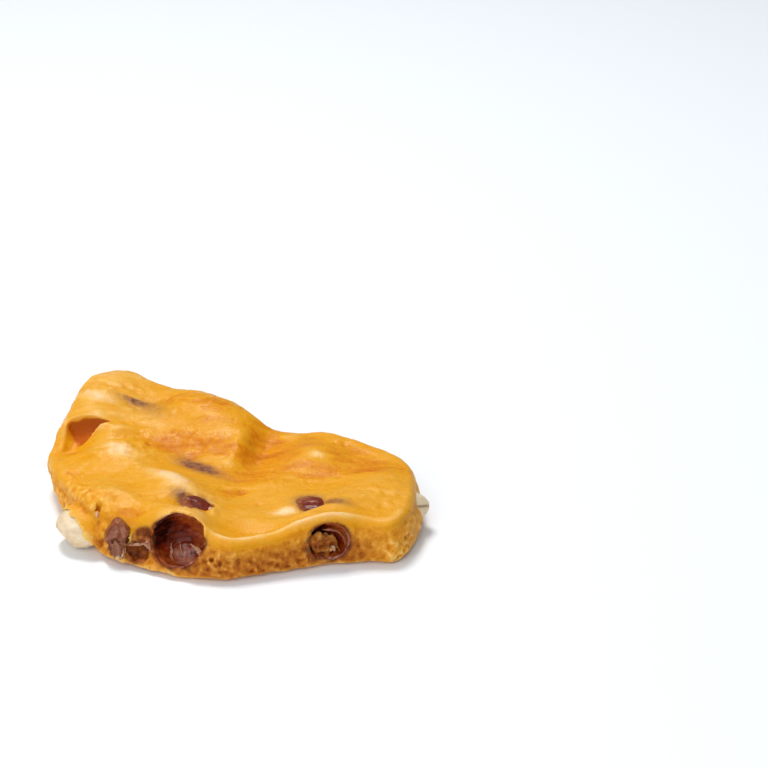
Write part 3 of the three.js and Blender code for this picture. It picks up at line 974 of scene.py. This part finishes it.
def skin_look(name, grain=(4, 1, 1), coat=0.1):
    dark, middle, light, torn_dark, torn_light = SKINS[name]
    look = Look(name, Subsurface_Weight=0.1, Subsurface_Scale=0.0006, Coat_Weight=coat, Coat_Roughness=0.15)
    look.shader.inputs["Specular IOR Level"].default_value = 0.16
    vein = look.noise(0.55, 4, grain)
    share = look.math("MULTIPLY_ADD", look.noise(2, 3), 0.5, look.math("MULTIPLY", vein, 0.5))
    share = look.math("ADD", share, "shade")
    colour = look.ramp(share, (0.25, *dark), (0.55, *middle), (0.85, *light))
    # Colours of the torn edge, and of the painted reflection on a socket's mound
    edge = look.ramp(look.noise(0.8, 4), (0.32, *torn_dark), (0.66, *torn_light))
    colour = look.mix("torn_edge_and_sheen", colour, edge)
    veil = look.math("MULTIPLY", "veil", look.level(look.noise(0.7, 3), 0.3, 0.6, 0.5, 1))
    colour = look.mix(veil, colour, look.ramp(vein, (0.3, 122, 64, 38), (0.7, 172, 104, 60)))
    normal = look.bump(vein, 0.12, look.bump(look.noise(1.6, 3), 0.2))
    return look.done(colour, look.level(look.noise(1, 3), 0.3, 0.7, 0.16, 0.34), normal)


def flesh_look():
    look = Look("nut_flesh_ivory", Subsurface_Weight=0.35, Subsurface_Scale=0.001, Specular_IOR_Level=0.4)
    look.shader.inputs["Subsurface Radius"].default_value = (1, 0.7, 0.4)
    fibre = look.noise(0.9, 4, (3, 1, 1))
    cloud = look.noise(2.6, 3)
    share = look.math("MULTIPLY_ADD", fibre, 0.4, look.math("MULTIPLY", cloud, 0.6))
    colour = look.ramp(share, (0.3, 206, 170, 126), (0.5, 232, 205, 166), (0.72, 242, 222, 192))
    colour = look.mix("seam", colour, rgb(170, 122, 72))
    normal = look.bump(look.noise(0.3, 3), 0.05, look.bump(fibre, 0.07))
    return look.done(colour, look.level(cloud, 0.3, 0.7, 0.42, 0.6), normal)


def scrap_look():
    look = Look("nut_scraps", Subsurface_Weight=0.35, Subsurface_Scale=0.0008, Specular_IOR_Level=0.4)
    fibre = look.noise(0.6, 4, (3, 1, 1))
    brown = look.ramp(fibre, (0.3, 70, 28, 8), (0.5, 126, 68, 22), (0.7, 176, 116, 54))
    cream = look.ramp(fibre, (0.3, 206, 148, 100), (0.7, 240, 200, 156))
    colour = look.mix("pale", brown, cream)
    return look.done(colour, look.level(fibre, 0.3, 0.7, 0.3, 0.5), look.bump(fibre, 0.12))


# ---- nuts ----


def ball(rings, around):
    """Unit directions with the poles on the X axis, and the faces between them."""
    polar = np.linspace(0, math.pi, rings + 1)[1:-1]
    turn = np.arange(around) * 2 * math.pi / around
    p, t = np.meshgrid(polar, turn, indexing="ij")
    middle = np.stack([np.cos(p), np.sin(p) * np.cos(t), np.sin(p) * np.sin(t)], -1).reshape(-1, 3)
    directions = np.concatenate([[[1, 0, 0]], middle, [[-1, 0, 0]]])
    faces = []
    for i in range(rings - 2):
        for j in range(around):
            a, b = 1 + i * around + j, 1 + i * around + (j + 1) % around
            faces.append((a, a + around, b + around, b))
    last = len(directions) - 1
    for j in range(around):
        k = (j + 1) % around
        faces.append((0, 1 + j, 1 + k))
        faces.append((last, last - around + k, last - around + j))
    return directions, faces


def kernel_mesh(name, seed, wrinkle=0.09, seam=SEAM, facets=(), blunt=0.12):
    """A kernel with the seam between its halves, a germ tip, fine wrinkles and, if broken, flat facets."""
    middle, size, turn, tip = KERNELS[name]
    directions, faces = ball(*KERNEL_CUTS)
    reach = np.ones(len(directions))
    for facet, out in facets:
        facet = np.array(facet, float) / np.linalg.norm(facet)
        flat = out / np.maximum(directions @ facet, 1e-6)
        reach = -round_max(-reach, -np.minimum(flat, 2), blunt)
    chipped = smooth_step(1, 0.96, reach)
    shape = directions * reach[:, None]
    shape[:, 1:] *= kernel_girth(shape[:, 0])[:, None]
    local = shape * np.array(size) / 2
    off_seam = (directions[:, 1] + math.sqrt(3) * directions[:, 2]) * size[2] / 4
    groove = np.exp(-((off_seam / SEAM) ** 2)) * smooth_step(1, 0.9, abs(directions[:, 0]))
    depth = -seam * groove + wrinkle * noise(local, (2.6, 0.8, 0.8), seed)
    depth += 0.05 * noise(local, 0.7, seed + 1)
    depth += 0.12 * noise(local, 3.2, seed + 2) + 0.25 * chipped * noise(local, (1.8, 0.6, 0.6), seed + 3)
    germ = directions @ np.array([0.985, 0, 0.17])
    depth += 0.22 * np.exp(-((1 - germ) / 0.012))
    if name == "peanut_left":
        depth += 0.35 * noise(local, 1.7, seed + 5)
    local += directions * depth[:, None]
    placed = local @ kernel_axes(turn, tip) + middle
    paints = {"seam": groove * (seam > 0), "torn_edge_and_sheen": 0.6 * chipped}
    if name == "peanut_left":
        paints["veil"] = smooth_step(-20.4, -19.5, placed[:, 1] + 1.4 * noise(placed, 1, seed + 4))
    if name in WINDOWS:
        paints["veil"] = smooth_step(-0.4, 0.2, break_distance(name, placed))
    return mesh_object(name.replace("peanut", "kernel"), placed, faces, paints)


# ---- skins left in the sockets ----


def shell(front, back, closed):
    """Corners and quads of a thin sheet between two grids of points, joined end to end if closed."""
    rows, columns = front.shape[:2]
    corners = np.concatenate([front.reshape(-1, 3), back.reshape(-1, 3)])
    size = rows * columns
    faces = []
    last = columns if closed else columns - 1
    for i in range(rows - 1):
        for j in range(last):
            k = (j + 1) % columns
            a, b, c, d = i * columns + j, (i + 1) * columns + j, (i + 1) * columns + k, i * columns + k
            faces.append((a, b, c, d))
            faces.append((size + d, size + c, size + b, size + a))
    for j in range(last):
        k = (j + 1) % columns
        end = (rows - 1) * columns
        faces.append((end + j, size + end + j, size + end + k, end + k))
        if not closed:
            faces.append((size + j, j, k, size + k))
    if not closed:
        for i in range(rows - 1):
            a, b = i * columns, (i + 1) * columns
            faces.append((a, size + a, size + b, b))
            a, b = a + columns - 1, b + columns - 1
            faces.append((b, size + b, size + a, a))
    return corners, faces


def sample(field, points):
    """The field at any points."""
    place = (points - LOW) / CELL
    whole = np.clip(np.floor(place).astype(int), 0, np.array(field.shape) - 2)
    return mixed(field, whole, place - whole)


def cup_direction(polar, turn):
    """From a socket's middle, in radians: polar grows from its back to its mouth, turn is 0 to its right."""
    return np.stack([np.sin(polar) * np.cos(turn), np.cos(polar), np.sin(polar) * np.sin(turn)], -1)


def skin_cup(name, body, mound, seed):
    """The skin that a lost kernel left in its socket, out to a ragged rim at the broken side."""
    middle, half = (np.array(v) for v in SOCKETS[name])
    rows, around = CUP_CUTS
    turn = np.arange(around) * 2 * math.pi / around
    ring = np.stack([np.cos(turn), np.sin(turn)], -1)
    steps = np.linspace(0.2, math.pi, CUP_STEPS)
    p, t = np.meshgrid(steps, turn, indexing="ij")
    along = middle + half * cup_direction(p, t)
    outside = sample(body, along.reshape(-1, 3)).reshape(p.shape) > -0.3
    rim = steps[np.argmax(outside, 0)]
    rim = np.minimum(rim, np.minimum(np.roll(rim, 2), np.roll(rim, -2)))
    rim += 0.07 * noise(ring * 6, 1.6, seed) + 0.05 * noise(ring * 6, 0.7, seed + 1) - 0.03
    share = np.linspace(0.004, 1, rows)[:, None]
    unit = cup_direction(share * rim[None], np.broadcast_to(turn, (rows, around)))
    wrinkles = 0.16 * noise(unit * 5, (1.6, 3, 2.2), seed + 2) + 0.06 * noise(unit * 5, 0.7, seed + 3)
    wrinkles += 0.07 * noise(ring * 6, 0.8, seed + 5) * smooth_step(0.2, 0.7, share)
    pale = np.zeros(p.shape[1:])
    right, high = unit[..., 0], unit[..., 2]
    shade = 0.28 * smooth_step(-0.2, 1.1, right + high) + 0.2 * smooth_step(-0.3, -1, high)
    shade -= 0.26 * smooth_step(0.3, -0.8, right) * smooth_step(-0.75, -0.2, high)
    # Each mound bulges the skin and is paler: partly the skin's paler inner side, partly painted reflection
    # of the light from above
    for place, width, height in mound:
        apart = np.linalg.norm(unit - cup_direction(*np.radians(place)), axis=-1)
        wrinkles += height * np.sqrt(np.clip(1 - (apart / width) ** 2, 0, 1))
        streaks = 0.7 + 0.8 * noise(unit * 5, (0.7, 1.6, 1.6), seed + 6)
        pale = pale + np.clip(streaks, 0.15, 1) * smooth_step(1, 0.75, apart / width)
    thick = 0.12 + (SKIN - 0.12 + wrinkles) * smooth_step(1, 0.93, share)
    inner = middle + unit * (half - 0.02 - np.maximum(thick, 0.1)[..., None])
    outer = middle + unit * (half + 0.06)
    # The torn edge's paint also carries the mound's painted reflection
    torn_edge_and_sheen = smooth_step(0.94, 1, share + 0.02 * noise(unit * 5, 0.6, seed + 4))
    torn_edge_and_sheen = np.minimum(1, torn_edge_and_sheen * smooth_step(-0.1, 0.8, np.cos(turn + 0.7)) + pale)
    corners, faces = shell(inner, outer, True)
    faces += [tuple(range(around))[::-1], tuple(range(rows * around, rows * around + around))]
    return corners, faces, {"torn_edge_and_sheen": np.tile(torn_edge_and_sheen.ravel(), 2), "shade": np.tile(shade.ravel(), 2)}


def settled(points, surface, above):
    """The points moved to that height above a surface, given as a distance."""
    steps = 0.2 * np.eye(3)
    for _ in range(4):
        slope = np.stack([surface(points + step) - surface(points - step) for step in steps], -1)
        points = points - (surface(points) - above)[:, None] * unit_rows(slope)
    return points


def shred(path, lean, width, seed, surface=None):
    """A torn strip of skin along a path, narrow at its ends, with its face towards lean."""
    rows, columns = SHRED_CUTS
    path = np.array(path, float)
    share = np.linspace(0, 1, rows)
    knots = np.linspace(0, 1, len(path))
    bend = np.stack([np.polyval(np.polyfit(knots, path[:, k], len(path) - 1), share) for k in range(3)], -1)
    bend += 0.12 * np.stack([noise(share[:, None] * 6, 1, seed + k) for k in range(3)], -1)
    if surface:
        bend = settled(bend, surface, 0.12)
    face = np.broadcast_to(np.array(lean, float), bend.shape)
    side = unit_rows(np.cross(np.gradient(bend, axis=0), face))
    broad = width * np.sin(math.pi * (0.08 + 0.84 * share))
    broad *= 1 + 0.55 * noise(share[:, None] * 10, 1, seed + 3)
    off = np.linspace(-0.5, 0.5, columns)
    place = bend[:, None] + side[:, None] * (broad[:, None] * off)[..., None]
    curl = 1.1 * width * off**2 + 0.12 * noise(place, 0.6, seed + 4)
    place = place + face[:, None] * curl[..., None]
    return shell(place + 0.06 * face[:, None], place - 0.06 * face[:, None], False)


def lump(middle, half, seed):
    """A crumb with an uneven face."""
    directions, faces = ball(*SCRAP_CUTS)
    bulge = 1 + 0.5 * noise(directions, 0.8, seed) + 0.3 * noise(directions, 0.35, seed + 1)
    return middle + directions * bulge[:, None] * half, faces


def joined(name, paint, parts):
    """One piece from several meshes, each with its own number as the paint."""
    corners, faces, numbers = [], [], []
    start = 0
    for (here, there), number in parts:
        corners.append(here)
        faces += [tuple(start + index for index in face) for face in there]
        numbers += [number] * len(here)
        start += len(here)
    return mesh_object(name, np.concatenate(corners), faces, {paint: numbers})


def in_socket(name, places, lifts):
    """Points above a socket's skin, from their polar and turn in degrees."""
    middle, half = (np.array(v) for v in SOCKETS[name])
    lifts = np.linspace(*lifts, len(places))
    return [middle + (half - SKIN - lift) * cup_direction(*np.radians(at)) for at, lift in zip(places, lifts)]


def sheet_or_nut(points):
    return np.minimum(sample(field, points), kernel_distance(points, KERNELS["peanut_left"]))


# ---- the piece ----

field, body = sheet_field()
untangle(field)
corners, quads = keep_largest(*surface_nets(field))
sheet = mesh_object("brittle_sheet", corners, quads.tolist(), sheet_paints(corners, quads))
thin_out(sheet, np.flatnonzero(corners[:, 2] < 0.01), UNDERSIDE_SHARE)
finish_piece(sheet, caramel_look(), "caramel", "caramel")

ivory = flesh_look()
lining_skin = skin_look("nut_skin_dark")
window_skin = skin_look("nut_skin_wet")
broken_skin = skin_look("nut_skin_broken", grain=(1, 1, 4), coat=0.08)
torn_skin = skin_look("nut_skin_torn")
edge_nut = kernel_mesh("peanut_edge", 70, seam=0, facets=EDGE_FACETS)
finish_piece(edge_nut, ivory, "nut_flesh", "peanut_edge")
for name, seed in (("peanut_back", 76), ("peanut_end", 82)):
    finish_piece(kernel_mesh(name, seed), ivory, "nut_flesh", name)
for name, seed in (("peanut_front", 88), ("peanut_right", 94)):
    finish_piece(kernel_mesh(name, seed, wrinkle=0.16), window_skin, "nut_skin", name)
broken_nut = kernel_mesh("peanut_left", 100, wrinkle=0.2, seam=0, facets=BROKEN_FACETS, blunt=0.08)
finish_piece(broken_nut, broken_skin, "nut_skin", "peanut_left")
for name, seed in (("skin_front", 110), ("skin_right", 120)):
    cup = mesh_object(name + "_cup", *skin_cup(name, body, MOUNDS[name], seed))
    finish_piece(cup, lining_skin, "nut_skin", name)

shreds = []
for i, (path, width, pale) in enumerate(MEMBRANES):
    shreds.append((shred(path, FRONT_LEAN, width, 130 + 7 * i, sheet_or_nut), pale))
for i, (name, places, lifts, width, pale) in enumerate(FLAPS):
    path = in_socket(name, places, lifts)
    lean = SOCKETS[name][0] - path[len(path) // 2]
    shreds.append((shred(path, lean / np.linalg.norm(lean), width, 200 + 7 * i), pale))
finish_piece(joined("skin_shreds", "torn_edge_and_sheen", shreds), torn_skin, "nut_skin")
scraps = []
for i, (place, half, pale) in enumerate(SCRAPS):
    scraps.append((lump(np.array(place), half, 300 + 5 * i), pale))
finish_piece(joined("nut_scraps", "pale", scraps), scrap_look(), "nut_flesh")

# ---- stage ----

CAMERA_RISE = 28  # degrees above the table
CAMERA_DISTANCE = 420
PIXELS_PER_MM = 5.6
PICTURE = 768
AIM = Vector((26.786, 7.88, 19.821))  # the point in the middle of the picture


def place_object(name, data, place, forward):
    """Puts a camera or lamp in the scene, looking forward."""
    thing = bpy.data.objects.new(name, data)
    bpy.context.scene.collection.objects.link(thing)
    thing.location = place
    thing.rotation_mode = "QUATERNION"
    thing.rotation_quaternion = forward.to_track_quat("-Z", "Y")
    return thing


def make_camera():
    data = bpy.data.cameras.new("camera")
    data.sensor_width = 36
    data.lens = PIXELS_PER_MM * CAMERA_DISTANCE / PICTURE * data.sensor_width
    data.clip_start = 0.01
    rise = math.radians(CAMERA_RISE)
    forward = Vector((0, math.cos(rise), -math.sin(rise)))
    place = (AIM - Vector(BOX_MIDDLE) - CAMERA_DISTANCE * forward) * MM
    bpy.context.scene.camera = place_object("camera", data, place, forward)


def make_floor():
    bpy.ops.mesh.primitive_plane_add(size=4)
    floor = bpy.context.object
    floor.name = "floor"
    look = Look("floor_white")
    look.shader.inputs["Roughness"].default_value = 0.6
    floor.data.materials.append(look.done(rgb(246, 246, 247)))


def area_light(name, place, size, power, colour):
    """A round lamp that shines on the piece, with its place and size in metres."""
    data = bpy.data.lights.new(name, "AREA")
    data.shape = "DISK"
    data.size = size
    data.energy = power
    data.color = colour
    place_object(name, data, place, -Vector(place))


def make_lights():
    world = bpy.data.worlds.new("studio")
    bpy.context.scene.world = world
    sky = Nodes(world)
    split = sky.tree.nodes.new("ShaderNodeSeparateXYZ")
    sky.link(sky.tree.nodes.new("ShaderNodeTexCoord").outputs["Generated"], split.inputs[0])
    height = sky.level(split.outputs["Z"], 0.35, 0.9, 0.2, 0.5, "LINEAR")
    across = sky.level(split.outputs["X"], 0.1, 0.9, 1.35, 0.5, "LINEAR")
    background = sky.tree.nodes["Background"]
    background.inputs["Color"].default_value = (0.76, 0.89, 1, 1)
    sky.link(sky.math("MULTIPLY", height, across), background.inputs["Strength"])
    area_light("key", (-0.09, 0.19, 0.56), 0.21, 2.35, (1, 0.98, 0.96))
    area_light("fill", (-0.14, -0.42, 0.3), 0.5, 1.4, (0.93, 0.97, 1))


make_camera()
make_floor()
make_lights()
bpy.context.scene.view_settings.view_transform = "Standard"
